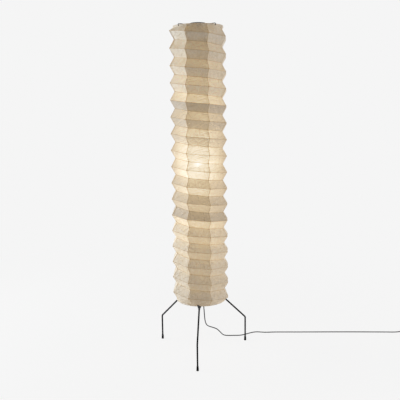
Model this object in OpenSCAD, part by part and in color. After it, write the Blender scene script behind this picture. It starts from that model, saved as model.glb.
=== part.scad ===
// Paper lantern floor lamp: a tall folded paper shade on a wire tripod, with a mast, a crown and one bulb.
// Millimetres. +Z is up, the floor is z = 0, the mast stands on the Z axis and the front leg points to -Y.
// An azimuth is an angle about the Z axis, counted from -Y towards +X.

/* [Shade] */
// Height of the paper shade from edge to edge
shade_h = 1610; // [1300:10:1950]
// Number of folds that go round the shade like a screw thread
fold_turns = 17; // [13:1:20]
// Corner radius of the folds at the top of the shade
top_r = 171; // [150:1:206]
// Corner radius of the folds at the bottom of the shade
bottom_r = 177; // [160:1:214]
// How far a valley lies inside a ridge
fold_depth = 28; // [15:1:34]
// How much lower the middle folds hang than an even spacing would put them
fold_sag = 6; // [0:0.5:8]
// Radius of the wire hoop at the top
top_hoop_r = 140; // [125:1:170]
// Radius of the wire hoop at the bottom
bottom_hoop_r = 146; // [130:1:176]
// Thickness of the paper
paper_t = 0.6; // [0.4:0.1:1]
// Wire diameter of the hoops
hoop_d = 3.5; // [2.5:0.5:5]
// Diameter of the bamboo ribs in the folds
rib_d = 1.6; // [1.2:0.1:2.4]
// Turn of the shade on its stand
shade_turn = 2; // [-20:1:20]
// First full fold from the top that has a second layer of paper
lining_first = 5; // [3:1:7]
// Last full fold from the top that has a second layer of paper
lining_last = 12; // [9:1:12]

/* [Stand] */
// Radius of the circle that the feet stand on
foot_circle_r = 307; // [250:1:370]
// Height at which the legs bend inwards
knee_z = 157; // [120:1:190]
// Slope of the legs above the knee, in degrees
leg_slope = 45; // [40:1:50]
// Diameter of the leg rod
leg_d = 9.5; // [7:0.5:10]
// Centreline radius of the bend at the knee
knee_bend_r = 14; // [10:1:24]
// Diameter of the hub that the legs and the mast meet in
hub_d = 52; // [48:1:64]
// Height of the hub
hub_h = 50; // [42:1:60]
// Outer diameter of the mast tube
mast_d = 12; // [10:0.5:14]
// Wall of the mast tube
mast_wall = 1.5; // [1:0.25:2]
// Height of the joint between the two lengths of mast
mast_join_z = 960; // [700:10:1000]
// Height of a rubber foot
foot_h = 28; // [20:1:36]
// Diameter of a rubber foot near its base
foot_d = 15; // [14:0.5:20]

/* [Rim clips] */
// Width of a clip at its top
clip_w = 24; // [16:1:30]
// Height of a clip's plate
clip_h = 18; // [15:1:20]
// Thickness of a clip's plate
clip_t = 1.5; // [1:0.25:2.5]

/* [Crown] */
// Diameter of the crown's arms
arm_d = 3; // [3:0.5:4.5]
// Diameter of the crown's cap
cap_d = 86; // [60:1:90]
// Height of the crown's cap, with its dome
cap_h = 6; // [5:0.5:9]
// Diameter of the crown's boss
boss_d = 30; // [26:1:38]

/* [Light] */
// Height of the middle of the bulb
bulb_z = 1145; // [1090:5:1230]
// Distance of the bulb from the mast
bulb_offset = 42; // [42:1:56]
// Azimuth of the bulb
bulb_azimuth = -10; // [-30:1:30]
// Diameter of the bulb
bulb_d = 60; // [50:1:66]
// Length of the bulb from its contact to its top
bulb_l = 106; // [100:1:118]
// Outer diameter of the lampholder
holder_d = 40; // [36:0.5:46]

/* [Cord] */
// Diameter of the cord
cord_d = 6; // [5:0.25:6.25]
// Length of the switch
switch_l = 72; // [60:1:90]
// Width of the switch
switch_w = 27; // [22:1:34]
// Width of the plug
plug_w = 35; // [32:1:40]
// Length of the plug's body
plug_l = 36; // [30:1:44]

/* [Hidden] */
// One name per paper panel, arm, leg, foot and clip

// Curves
$fn = 64;
small_fn = 32;
// Gap between two pieces that lie against each other
seat_gap = 0.3;
// Gap round a rod in its hole
hole_gap = 0.15;
// Overlap that lets a cut run past a face
cut = 1;
// Ring round the joint between a straight length of rod and a bend: its thickness and its length
bend_ring = 0.05;
bend_ring_l = 1.2;

// Shade: the folds are a screw thread on an eight-sided tube, made of eight panels
PANELS = 8;
panel_angle = 360 / PANELS;
half_cos = cos(panel_angle / 2);
// Gap between the edges of two panels, in degrees
seam_gap = 0.04;
// Columns of faces across a panel
PANEL_STEPS = 4;
hoop_r = hoop_d / 2;
rib_r = rib_d / 2;
// The paper's edge stands this far past the middle of a hoop
rim_edge = hoop_r + 0.85;
// Height of the plain band of paper round a hoop
rim_band = 12;
// A fold that comes nearer to that band than this grows shallow, and ends at the band
fold_fade = 14;
// Least height between a fold and the band
fold_step = 0.8;
fold_pitch = shade_h / fold_turns;
leg_r = leg_d / 2;
mast_r = mast_d / 2;
function leg_z(r) = knee_z + (foot_circle_r - r) * tan(leg_slope);
hoop_bottom_z = leg_z(bottom_hoop_r) + (leg_r + hoop_r + seat_gap) / cos(leg_slope);
rim_bottom_z = hoop_bottom_z - rim_edge;
rim_top_z = rim_bottom_z + shade_h;
hoop_top_z = rim_top_z - rim_edge;
// Gap between the paper and its second layer, measured level
lining_gap = 0.6;
both_layers = 2 * paper_t + lining_gap;
fold_slope = atan(fold_pitch / 2 / fold_depth);

// Outer radius of the paper at the corners of the plain band round a hoop, whose flats clear the wire
function band_r(hoop) = (hoop + hoop_r + seat_gap + paper_t) / cos(panel_angle / PANEL_STEPS / 2);

// Crown: arms over the top hoop, each with a hook round it and through a window in the paper
arm_r = arm_d / 2;
hook_r = norm([band_r(top_hoop_r) - top_hoop_r, rim_edge]) + arm_r + 0.4;
arm_z = hoop_top_z + hook_r;
hook_end = 2.5;
arm_azimuths = [-45, 45, 135, 225];
arm_socket = 7;
boss_top_z = arm_z + 9;
boss_bottom_z = hoop_top_z - 24;
mast_top_z = hoop_top_z + 1;

// Stand
leg_azimuths = [0, 120, -120];
hub_r = hub_d / 2;
hub_z = leg_z(hub_r) - hub_h / 2 + 2;
hub_top_z = hub_z + hub_h;
leg_tip_r = mast_r + 6;
leg_end_z = 6;
mast_foot_z = hub_z + 8;
joiner_l = 60;
screw_r = 2.5;
hex_key = 2.5;
// Distance of a leg's screw from the axis, and height of the mast's screw above the hub's foot
leg_screw_at = hub_r - 7;
mast_screw_up = 16;

// Rim clips: the plate stands just outside the paper's edge and leans away from it
clip_lean = 12;
clip_at_r = band_r(bottom_hoop_r) + clip_t / 2 + 0.6;
clip_foot_z = leg_z(clip_at_r) + leg_r / cos(leg_slope);
clip_sleeve_r = leg_r + 1.6;
clip_sleeve_l = 10;

// Light
bulb_at = polar(bulb_offset, bulb_azimuth, 0);
bulb_foot_z = bulb_z + bulb_d / 2 - bulb_l;
bulb_cap_r = 13;
bulb_cap_h = 26;
bulb_glass_t = 1;
skirt_r = holder_d / 2;
skirt_bore_r = bulb_cap_r + 0.5;
skirt_z = bulb_foot_z - 0.3;
skirt_h = 27;
cup_h = 26;
cup_z = skirt_z - cup_h;
arm_plate_t = 4;
arm_plate_z = cup_z - arm_plate_t;
nipple_r = 5;
nipple_z = arm_plate_z - 10;
collar_h = 18;
collar_r = mast_r + 6;
// Clips that hold the lead to the mast: their heights, their wall and how tall they are
tie_heights = [560, 740, 880];
tie_wall = 1.5;
tie_h = 7;

// Cord: the route is a list of points that were chosen by hand along the floor
cord_r = cord_d / 2;
lead_at = [10, -6];
grip_h = 38;
grip_z = hub_z - grip_h;
cord_exit = [lead_at[0], lead_at[1], grip_z];
switch_start = [1290, 330];
switch_line_z = 8;
CORD_ROUTE = [
    [10, -6, 355], [11, -5, 333], [12, -2, 308], [14, 5, 279], [15, 16, 249], [15, 34, 219],
    [15, 56, 187], [15, 84, 155], [16, 118, 126], [18, 150, 104], [23, 180, 84], [33, 205, 68],
    [46, 222, 57], [59, 232, 49], [72, 238, 42], [84, 241, 34], [93, 241, 26], [102, 239, 18],
    [111, 234, 10], [121, 227, 5], [132, 221, 3], [147, 217, 3], [168, 217, 3], [190, 220, 3],
    [212, 221, 3], [233, 225, 3], [251, 233, 3], [268, 245, 3], [287, 260, 3], [306, 274, 3],
    [325, 284, 3], [346, 288, 3], [368, 286, 3], [392, 284, 3], [420, 286, 3], [460, 291, 3],
    [630, 300, 3], [930, 317, 3], [1190, 328, 3], [1238, 329.5, 3], [1264, 330, 5]
];
// Rings of the tube along one stretch of the route
ROUTE_STEPS = 2;
cord_end = [switch_start[0], switch_start[1], switch_line_z];
cord_points = concat(
    [cord_exit],
    smooth_route(concat([cord_exit - [0, 0, cord_d]], CORD_ROUTE, [cord_end - [cord_d, 0, 0]]), ROUTE_STEPS),
    [cord_end]
);

// Coil: two layers of turns, spiralling in below and out again on top
coil_mid_r = 33;
coil_layer_turns = 2;
coil_out_turns = 1.75;
coil_step = cord_d + 0.6;
COIL_RINGS = 24;
coil_outer_r = coil_mid_r + coil_step * coil_layer_turns / 2;
coil_inner_r = coil_outer_r - coil_step * coil_layer_turns;
coil_lead = 50;
coil_at = [switch_start[0] + switch_l + coil_lead, switch_start[1] - coil_outer_r];
coil_turns = coil_layer_turns + 0.5 + coil_out_turns;
coil_end_r = coil_inner_r + coil_step * coil_out_turns;
plug_line_z = 7.5;
plug_gap = 44;
plug_at = [coil_at[0] + coil_end_r, coil_at[1] - plug_gap];
// A level stretch from the switch, an easy slope down to the floor, the turns, and a slope to the plug
coil_points = concat(
    [for (s = [0, 0.12])
        [switch_start[0] + switch_l + s * coil_lead, switch_start[1], switch_line_z]],
    [for (s = [0.3 : 0.175 : 0.9])
        [switch_start[0] + switch_l + s * coil_lead, switch_start[1],
         mix(switch_line_z, cord_r, ease((s - 0.12) / 0.8))]],
    [for (k = [0 : coil_turns * COIL_RINGS]) coil_point(k / COIL_RINGS)],
    [for (s = [0.25 : 0.2 : 0.85])
        [plug_at[0], coil_at[1] - s * plug_gap,
         mix(cord_r + coil_step, plug_line_z, ease(s / 0.86))]],
    [[plug_at[0], plug_at[1], plug_line_z]]
);

// Switch and plug
switch_h = 16;
switch_split_z = 7;
switch_wall = 2;
rocker_l = 22;
rocker_w = 12;
rocker_tilt = 8;
rocker_z = switch_h - 2.5;
rocker_pin_r = 1.5;
plug_t = 15;
plug_neck = 24;
plug_face = plug_neck + plug_l - 1;
pin_r = 2;
pin_l = 19;
pin_pitch = 19;
// Thinner end of a pin that is set in the plug, and its length
pin_root_r = 1.6;
pin_root = 12;

// Functions
function polar(r, azimuth, z) = [r * sin(azimuth), -r * cos(azimuth), z];
function mix(a, b, t) = a + (b - a) * t;
function ease(t) = let (u = max(0, min(1, t))) u * u * (3 - 2 * u);
function unit(v) = v / norm(v);

// A fold is counted from the top in half pitches, so an even fold is a ridge and an odd one a valley
function fold_place(fold, azimuth) = fold / 2 + azimuth / 360;
function fold_share(place) = place / (fold_turns - 1);
function fold_z(place) = let (t = fold_share(place))
    rim_top_z - fold_pitch * (place + 0.5) - fold_sag * 4 * t * (1 - t);
function ridge_r(place) = mix(top_r, bottom_r, fold_share(place));
function fold_r(fold, place) = ridge_r(place) - (fold % 2 == 0 ? 0 : fold_depth);
high_band_z = rim_top_z - rim_band;
low_band_z = rim_bottom_z + rim_band;
// How deep a fold is at a height, from 0 at a band to 1
function fold_depth_share(z) = ease(min(high_band_z - z, z - low_band_z) / fold_fade);
function between_bands(z) = max(low_band_z + fold_step, min(high_band_z - fold_step, z));
// A panel keeps the folds of which it holds a part between the two bands
function is_kept(fold, from, to) = fold_z(fold_place(fold, to)) < high_band_z - 2 * fold_step
    && fold_z(fold_place(fold, from)) > low_band_z + 2 * fold_step;
// Distance from the axis to a straight panel at an angle off its middle
function across(apothem, off) = apothem / cos(off);

// Rows of points from top to bottom, each a list of [azimuth, z, distance from the axis]
function panel_columns(panel, gap) = [for (k = [0 : PANEL_STEPS])
    let (low = panel_angle * panel - panel_angle / 2 + gap, high = low + panel_angle - 2 * gap)
    mix(low, high, k / PANEL_STEPS)];
function band_row(z, r, columns, inward) = [for (a = columns) [a, z, r - inward]];
function fold_row(fold, columns, middle, inward) = [for (a = columns)
    let (place = fold_place(fold, a), z = between_bands(fold_z(place)),
         rim_r = band_r(fold < fold_turns ? top_hoop_r : bottom_hoop_r) - inward,
         full_r = across(fold_r(fold, place) * half_cos - inward, a - middle))
    [a, z, mix(rim_r, full_r, fold_depth_share(z))]];
function panel_rows(panel, inward) =
    let (columns = panel_columns(panel, seam_gap), middle = panel_angle * panel,
         from = middle - panel_angle / 2, to = middle + panel_angle / 2)
    concat(
        [for (z = [rim_top_z, rim_top_z - rim_band]) band_row(z, band_r(top_hoop_r), columns, inward)],
        [for (fold = [-2 : 2 * fold_turns + 1])
            if (is_kept(fold, from, to)) fold_row(fold, columns, middle, inward)],
        [for (z = [rim_bottom_z + rim_band, rim_bottom_z])
            band_row(z, band_r(bottom_hoop_r), columns, inward)]
    );
function row_points(rows) = [for (row = rows) for (p = row) polar(p[2], p[0], p[1])];

// Points of a tube's route: a smooth curve through its hand-chosen points
function spline(a, b, c, d, t) =
    0.5 * (2 * b + (c - a) * t + (2 * a - 5 * b + 4 * c - d) * t * t
        + (3 * b - a - 3 * c + d) * t * t * t);
function smooth_route(p, steps) = let (last = len(p) - 1) concat(
    [for (i = [0 : last - 1], s = [0 : steps - 1])
        spline(p[max(i - 1, 0)], p[i], p[i + 1], p[min(i + 2, last)], s / steps)],
    [p[last]]);
function tangents(p) = let (last = len(p) - 1)
    [for (i = [0 : last]) unit(p[min(i + 1, last)] - p[max(i - 1, 0)])];
function off_axis(v, t) = unit(v - (v * t) * t);
// Directions square to the route that turn as little as they can from ring to ring
function normals(t, first) =
    [for (i = 0, n = off_axis(first, t[0]);
        i < len(t);
        n = off_axis(n, t[min(i + 1, len(t) - 1)]), i = i + 1) n];

// The coil's centreline, by the number of turns from its start
function coil_radius(turns) = let (
    back = turns - coil_layer_turns,
    in_half = coil_step * min(back, 0.5 - back))
    turns < coil_layer_turns ? coil_outer_r - coil_step * turns
    : back < 0.5 ? coil_inner_r - in_half
    : coil_inner_r + coil_step * (back - 0.5);
function coil_point(turns) = let (r = coil_radius(turns), a = 360 * turns - 90)
    [coil_at[0] + r * cos(a), coil_at[1] - r * sin(a),
     cord_r + coil_step * ease((turns - coil_layer_turns) / 0.5)];
function gap_to_itself(p, skip) = min([for (i = [0 : len(p) - 1 - skip], j = [i + skip : len(p) - 1])
    norm(p[i] - p[j])]) - cord_d;
echo(coil_gap = gap_to_itself(coil_points, COIL_RINGS / 3));

// Shapes that several pieces share
// A sheet between an outer and an inner grid of points with the same rows and columns
module sheet(outer, inner, rows, columns) {
    n = rows * columns;
    function at(i, j) = i * columns + j;
    function split(a, b, c, d) = [[a, b, c], [a, c, d]];
    faces = concat(
        [for (i = [0 : rows - 2], j = [0 : columns - 2])
            each split(at(i, j), at(i, j + 1), at(i + 1, j + 1), at(i + 1, j))],
        [for (i = [0 : rows - 2], j = [0 : columns - 2])
            each [[n + at(i, j), n + at(i + 1, j + 1), n + at(i, j + 1)],
                  [n + at(i, j), n + at(i + 1, j), n + at(i + 1, j + 1)]]],
        [for (j = [0 : columns - 2])
            each split(at(0, j + 1), at(0, j), n + at(0, j), n + at(0, j + 1))],
        [for (j = [0 : columns - 2])
            each split(at(rows - 1, j), at(rows - 1, j + 1),
                n + at(rows - 1, j + 1), n + at(rows - 1, j))],
        [for (i = [0 : rows - 2])
            each split(at(i + 1, columns - 1), at(i, columns - 1),
                n + at(i, columns - 1), n + at(i + 1, columns - 1))],
        [for (i = [0 : rows - 2])
            each split(at(i, 0), at(i + 1, 0), n + at(i + 1, 0), n + at(i, 0))]
    );
    polyhedron(points = concat(outer, inner), faces = faces, convexity = 10);
}

// A round tube of faces along a route
module route_tube(p, r, sides, first) {
    t = tangents(p);
    n = normals(t, first);
    last = len(p) - 1;
    points = [for (i = [0 : last], s = [0 : sides - 1])
        p[i] + r * (cos(360 * s / sides) * n[i] + sin(360 * s / sides) * cross(t[i], n[i]))];
    function at(i, s) = i * sides + s % sides;
    faces = concat(
        [for (s = [1 : sides - 2]) [0, s, s + 1]],
        [for (i = [0 : last - 1], s = [0 : sides - 1])
            each [[at(i, s), at(i + 1, s), at(i + 1, s + 1)], [at(i, s), at(i + 1, s + 1), at(i, s + 1)]]],
        [for (s = [1 : sides - 2]) [at(last, 0), at(last, s + 1), at(last, s)]]
    );
    polyhedron(points = points, faces = faces, convexity = 10);
}

// A rod between two heights with a bevel at each end
module rod(r, from, to, bevel = 0.4) {
    translate([0, 0, from])
        rotate_extrude()
            polygon([[0, 0], [r - bevel, 0], [r, bevel], [r, to - from - bevel],
                [r - bevel, to - from], [0, to - from]]);
}

// A bent length of rod in the plane of Y and Z: it starts at [0, 0], heads up and turns towards +Y.
// A straight length in line with either end stops at its end, and a thin ring covers the joint.
module rod_bend(r, bend_r, angle) {
    short = bend_ring_l / 4 / bend_r * 180 / PI;
    translate([0, bend_r, 0])
        union() {
            rotate([90, 0, -90])
                rotate([0, 0, short])
                    rotate_extrude(angle = angle - 2 * short, $fn = small_fn)
                        translate([bend_r, 0])
                            circle(r = r, $fn = small_fn);
            for (a = [0, angle])
                rotate([-a, 0, 0])
                    translate([0, -bend_r, -bend_ring_l / 2])
                        cylinder(r = r + bend_ring, h = bend_ring_l, $fn = small_fn);
        }
}

// A grub screw along +Z with a six-sided key hole in its top
module grub_screw(r, length) {
    difference() {
        rod(r, 0, length, 0.3);
        translate([0, 0, length - hex_key])
            cylinder(d = hex_key, h = hex_key + cut, $fn = 6);
    }
}

// Turns children that point to -Y to an azimuth
module turned(azimuth) {
    rotate([0, 0, azimuth])
        children();
}

// Shade
module paper_panel(number) {
    panel = number - 5;
    middle = panel_angle * panel;
    outer = panel_rows(panel, 0);
    inner = panel_rows(panel, paper_t);
    color("#ece0c4")
        turned(shade_turn)
            difference() {
                sheet(row_points(outer), row_points(inner), len(outer), PANEL_STEPS + 1);
                // Window that an arm's hook goes through to hold the hoop from below
                for (azimuth = arm_azimuths)
                    if (abs((azimuth - middle + 540) % 360 - 180) < 1)
                        turned(middle)
                            translate([-arm_r - 0.5, -band_r(top_hoop_r) - cut,
                                hoop_top_z - hook_r - arm_r - 0.5])
                                cube([arm_d + 1, 2 * cut + paper_t, arm_d + 2]);
            }
}

// Second layer of paper behind the middle folds, one sheet that goes once round
module middle_lining() {
    outer_inset = paper_t + lining_gap;
    corners = [for (k = [0 : PANELS]) panel_angle * (k - PANELS / 2) - panel_angle / 2];
    columns = [for (k = [0 : PANELS])
        corners[k] + (k == 0 ? 2 * seam_gap : 0) - (k == PANELS ? 2 * seam_gap : 0)];
    folds = [for (fold = [2 * lining_first - 2 : 2 * lining_last - 2]) fold];
    function corner_points(inset) = [for (fold = folds, a = columns)
        let (place = fold_place(fold, a))
        polar(fold_r(fold, place) - inset / half_cos, a, fold_z(place))];
    color("#d8c8a8")
        turned(shade_turn)
            sheet(corner_points(outer_inset), corner_points(outer_inset + paper_t),
                len(folds), len(columns));
}

// A rib through the corners of one kind of fold, from the first that has its full depth to the last
module rib(fold, inset) {
    corners = [for (k = [-2 * PANELS : PANELS * (fold_turns + 2)])
        let (a = panel_angle * (k + 0.5), place = fold_place(fold, a), z = fold_z(place))
        if (fold_depth_share(z) == 1)
            polar(fold_r(fold, place) - inset / half_cos, a, z)];
    color("#c9a868")
        turned(shade_turn)
            route_tube(corners, rib_r, 6, [0, 0, 1]);
}
module ridge_rib() {
    rib(0, both_layers + (rib_r + seat_gap) / sin(fold_slope));
}
module valley_rib() {
    rib(1, both_layers + rib_r + seat_gap);
}

module hoop(r, z) {
    color("#2b2b2b")
        translate([0, 0, z])
            rotate_extrude($fn = 96)
                translate([r, 0])
                    circle(r = hoop_r, $fn = small_fn);
}

// Crown
module crown_arm(number) {
    reach = top_hoop_r - boss_d / 2 + arm_socket;
    color("#1c1c1c")
        turned(shade_turn + arm_azimuths[number - 1])
            union() {
                translate([0, bend_ring_l / 4 - top_hoop_r, arm_z])
                    rotate([-90, 0, 0])
                        cylinder(r = arm_r, h = reach - bend_ring_l / 4, $fn = small_fn);
                translate([0, -top_hoop_r, hoop_top_z - hook_r])
                    rotate([90, 0, 0])
                        rod_bend(arm_r, hook_r, 180);
                translate([0, bend_ring_l / 4 - top_hoop_r, hoop_top_z - hook_r])
                    rotate([-90, 0, 0])
                        cylinder(r = arm_r, h = hook_end, $fn = small_fn);
            }
}

module crown_boss() {
    boss_r = boss_d / 2;
    color("#1c1c1c")
        difference() {
            rod(boss_r, boss_bottom_z, boss_top_z, 1);
            translate([0, 0, boss_bottom_z - cut])
                cylinder(r = mast_r + hole_gap, h = mast_top_z + seat_gap - boss_bottom_z + cut);
            for (azimuth = arm_azimuths)
                turned(shade_turn + azimuth)
                    translate([0, -boss_r - cut, arm_z])
                        rotate([-90, 0, 0])
                            cylinder(r = arm_r + hole_gap, h = arm_socket + cut + hole_gap, $fn = small_fn);
        }
}

module crown_cap() {
    dome_h = cap_h / 2;
    cap_r = cap_d / 2;
    sphere_r = (cap_r * cap_r + dome_h * dome_h) / (2 * dome_h);
    color("#262626")
        translate([0, 0, boss_top_z + 0.05])
            rotate_extrude($fn = 96)
                union() {
                    square([cap_r, cap_h - dome_h]);
                    intersection() {
                        translate([0, cap_h - sphere_r])
                            circle(r = sphere_r, $fn = 180);
                        translate([0, cap_h - dome_h])
                            square([cap_r, dome_h + cut]);
                    }
                }
}

// Stand
module mast_tube(from, to) {
    color("#1c1c1c")
        difference() {
            translate([0, 0, from])
                cylinder(r = mast_r, h = to - from);
            translate([0, 0, from - cut])
                cylinder(r = mast_r - mast_wall, h = to - from + 2 * cut);
        }
}
module mast_lower() {
    mast_tube(mast_foot_z + seat_gap, mast_join_z);
}
module mast_upper() {
    mast_tube(mast_join_z, mast_top_z);
}
module mast_joiner() {
    color("#8c8f94")
        rod(mast_r - mast_wall - hole_gap, mast_join_z - joiner_l / 2, mast_join_z + joiner_l / 2);
}

// The straight line of a leg above its knee, from its tip in the hub outwards
module along_leg(r) {
    translate([0, -r, leg_z(r)])
        rotate([90 + leg_slope, 0, 0])
            children();
}

module leg(azimuth) {
    bend = 90 - leg_slope;
    // How far the bend takes up each straight length before the corner
    bend_reach = knee_bend_r * tan(bend / 2);
    slope_end_r = foot_circle_r - bend_reach * cos(leg_slope);
    // The straight lengths stop where the bend's own first degrees begin
    joint = bend_ring_l / 4;
    color("#1c1c1c")
        turned(azimuth)
            union() {
                translate([0, -foot_circle_r, leg_end_z])
                    cylinder(r = leg_r, h = knee_z - bend_reach - leg_end_z - joint, $fn = small_fn);
                translate([0, -foot_circle_r, knee_z - bend_reach])
                    rod_bend(leg_r, knee_bend_r, bend);
                along_leg(leg_tip_r)
                    cylinder(r = leg_r, h = (slope_end_r - leg_tip_r) / cos(leg_slope) - joint,
                        $fn = small_fn);
            }
}

module foot(azimuth) {
    foot_r = foot_d / 2;
    neck_r = leg_r + 1;
    color("#101010")
        turned(azimuth)
            translate([0, -foot_circle_r, 0])
                difference() {
                    rotate_extrude($fn = small_fn)
                        polygon(concat(
                            [[0, 0], [foot_r - 2, 0]],
                            [for (a = [-60 : 30 : 60]) [foot_r - 2 + 2 * cos(a), 2 + 2 * sin(a)]],
                            [[foot_r - 0.4, foot_h * 0.3], [neck_r + 0.6, foot_h * 0.7],
                             [neck_r, foot_h], [0, foot_h]]
                        ));
                    translate([0, 0, leg_end_z - seat_gap])
                        cylinder(r = leg_r + hole_gap, h = foot_h + cut, $fn = small_fn);
                }
}

module hub() {
    color("#1c1c1c")
        difference() {
            rod(hub_r, hub_z, hub_top_z, 2);
            translate([0, 0, mast_foot_z])
                cylinder(r = mast_r + hole_gap, h = hub_h);
            for (azimuth = leg_azimuths)
                turned(azimuth) {
                    along_leg(leg_tip_r - seat_gap)
                        cylinder(r = leg_r + hole_gap, h = hub_h, $fn = small_fn);
                    translate([0, -leg_screw_at, leg_z(leg_screw_at)])
                        cylinder(r = screw_r + 0.1, h = hub_h, $fn = small_fn);
                }
            translate([0, 0, hub_z + mast_screw_up])
                rotate([-90, 0, 0])
                    cylinder(r = screw_r + 0.1, h = hub_r + cut, $fn = small_fn);
            translate([lead_at[0], lead_at[1], hub_z - cut])
                cylinder(r = cord_r + seat_gap, h = hub_h + 2 * cut, $fn = small_fn);
        }
}
module hub_screws() {
    from = leg_z(leg_screw_at - screw_r) + leg_r / cos(leg_slope) + 0.1;
    color("#8c8f94")
        for (azimuth = leg_azimuths)
            turned(azimuth)
                translate([0, -leg_screw_at, from])
                    grub_screw(screw_r, hub_top_z - 0.5 - from);
}

module mast_screw() {
    color("#8c8f94")
        translate([0, mast_r + 0.2, hub_z + mast_screw_up])
            rotate([-90, 0, 0])
                grub_screw(screw_r, hub_r - mast_r - 0.7);
}

// Clip on a leg, with a skew plate outside the paper's edge that keeps the bottom hoop on the legs
module rim_clip(azimuth) {
    half_w = clip_w / 2;
    color("#3d3f42")
        turned(azimuth)
            difference() {
                union() {
                    along_leg(clip_at_r - clip_sleeve_r * sin(leg_slope))
                        cylinder(r = clip_sleeve_r, h = clip_sleeve_l, $fn = small_fn);
                    translate([0, -clip_at_r, clip_foot_z])
                        rotate([90 + clip_lean, 0, 0])
                            linear_extrude(clip_t, center = true)
                                polygon([[-clip_sleeve_r, -clip_sleeve_r], [clip_sleeve_r, -clip_sleeve_r],
                                    [half_w, clip_h * 0.32], [half_w - 2, clip_h * 0.45],
                                    [clip_w * 0.2 - half_w, clip_h], [-half_w, clip_h - 2]]);
                }
                along_leg(clip_at_r - clip_sleeve_l)
                    cylinder(r = leg_r + hole_gap, h = 3 * clip_sleeve_l, $fn = small_fn);
            }
}

// Light
module holder_arm() {
    collar_z = arm_plate_z + arm_plate_t / 2 - collar_h / 2;
    color("#1c1c1c")
        difference() {
            union() {
                rod(collar_r, collar_z, collar_z + collar_h, 1);
                turned(bulb_azimuth)
                    translate([-6, -bulb_offset, arm_plate_z])
                        cube([12, bulb_offset - mast_r - 2, arm_plate_t]);
                translate([bulb_at[0], bulb_at[1], arm_plate_z])
                    cylinder(r = 11, h = arm_plate_t);
            }
            translate([0, 0, collar_z - cut])
                cylinder(r = mast_r + hole_gap, h = collar_h + 2 * cut);
            translate([bulb_at[0], bulb_at[1], arm_plate_z - cut])
                cylinder(r = nipple_r + hole_gap, h = arm_plate_t + 2 * cut);
            turned(bulb_azimuth)
                translate([0, 0, arm_plate_z + arm_plate_t / 2])
                    rotate([-90, 0, 0])
                        cylinder(r = screw_r + 0.1, h = collar_r + cut, $fn = small_fn);
        }
}

// Thumb screw that clamps the arm to the mast, behind it as seen from the bulb
module arm_screw() {
    head_r = 6;
    color("#8c8f94")
        turned(bulb_azimuth)
            translate([0, mast_r + 0.2, arm_plate_z + arm_plate_t / 2])
                rotate([-90, 0, 0])
                    union() {
                        rod(screw_r, 0, 12, 0.3);
                        rod(head_r, 12, 18, 0.8);
                    }
}

module holder_nipple() {
    bore_r = cord_r + 0.4;
    color("#c8a85a")
        translate([bulb_at[0], bulb_at[1], nipple_z])
            difference() {
                union() {
                    cylinder(r = nipple_r, h = cup_z + 7.5 - nipple_z);
                    translate([0, 0, arm_plate_z - 4.3 - nipple_z])
                        cylinder(r = 8.5, h = 4, $fn = 6);
                }
                translate([0, 0, -cut])
                    cylinder(r = bore_r, h = cup_h + 30, $fn = small_fn);
            }
}

module holder_cup() {
    color("#191919")
        translate([bulb_at[0], bulb_at[1], 0])
            difference() {
                rotate_extrude()
                    polygon([[0, cup_z + 0.2], [nipple_r + 5, cup_z + 0.2], [skirt_r - 2, cup_z + 6],
                        [skirt_r, cup_z + 10], [skirt_r, cup_z + cup_h - 0.2], [0, cup_z + cup_h - 0.2]]);
                translate([0, 0, cup_z - cut])
                    cylinder(r = nipple_r + hole_gap, h = 8 + cut + seat_gap);
                translate([0, 0, cup_z + 8])
                    cylinder(r = cord_r + 0.4, h = 6, $fn = small_fn);
            }
}

// The skirt takes the bulb's cap, and has a ring of grip ribs round it
module holder_skirt() {
    ribs = 24;
    color("#191919")
        translate([bulb_at[0], bulb_at[1], skirt_z])
            difference() {
                union() {
                    rod(skirt_r - 0.8, 0, skirt_h, 0.8);
                    for (k = [0 : ribs - 1])
                        rotate([0, 0, 360 * k / ribs])
                            translate([skirt_r - 1.6, -0.8, 2])
                                cube([1.6, 1.6, skirt_h - 6]);
                }
                translate([0, 0, -cut])
                    cylinder(r = skirt_bore_r, h = skirt_h + 2 * cut);
            }
}

// The screw cap, with its thread as rounded ribs
module bulb_cap() {
    ribs = 6;
    rib_pitch = 3.6;
    color("#c9c9c4")
        translate([bulb_at[0], bulb_at[1], bulb_foot_z])
            rotate_extrude()
                polygon(concat(
                    [[0, 0], [4.5, 0], [5, 1.2], [9, 2.4], [bulb_cap_r - 1, 3.6]],
                    [for (k = [0 : ribs - 1]) each [
                        [bulb_cap_r, 3.9 + rib_pitch * (k + 0.25)],
                        [bulb_cap_r, 3.9 + rib_pitch * (k + 0.5)],
                        [bulb_cap_r - 0.8, 3.9 + rib_pitch * (k + 0.85)]]],
                    [[bulb_cap_r, bulb_cap_h], [0, bulb_cap_h]]
                ));
}

// A pear-shaped shell that stands on the cap
function bulb_outline(r, neck_r, neck_z, centre_z) = concat(
    [[0, neck_z], [neck_r, neck_z]],
    [for (a = [-50 : 10 : 90]) [r * cos(a), centre_z + r * sin(a)]]);
module bulb_glass() {
    r = bulb_d / 2;
    color("#fff4d8")
        translate([bulb_at[0], bulb_at[1], 0])
            rotate_extrude()
                difference() {
                    polygon(bulb_outline(r, bulb_cap_r - 0.5, bulb_foot_z + bulb_cap_h + 0.05, bulb_z));
                    polygon(bulb_outline(r - bulb_glass_t, bulb_cap_r - 0.5 - bulb_glass_t,
                        bulb_foot_z + bulb_cap_h + 0.05 + bulb_glass_t, bulb_z));
                }
}

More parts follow.
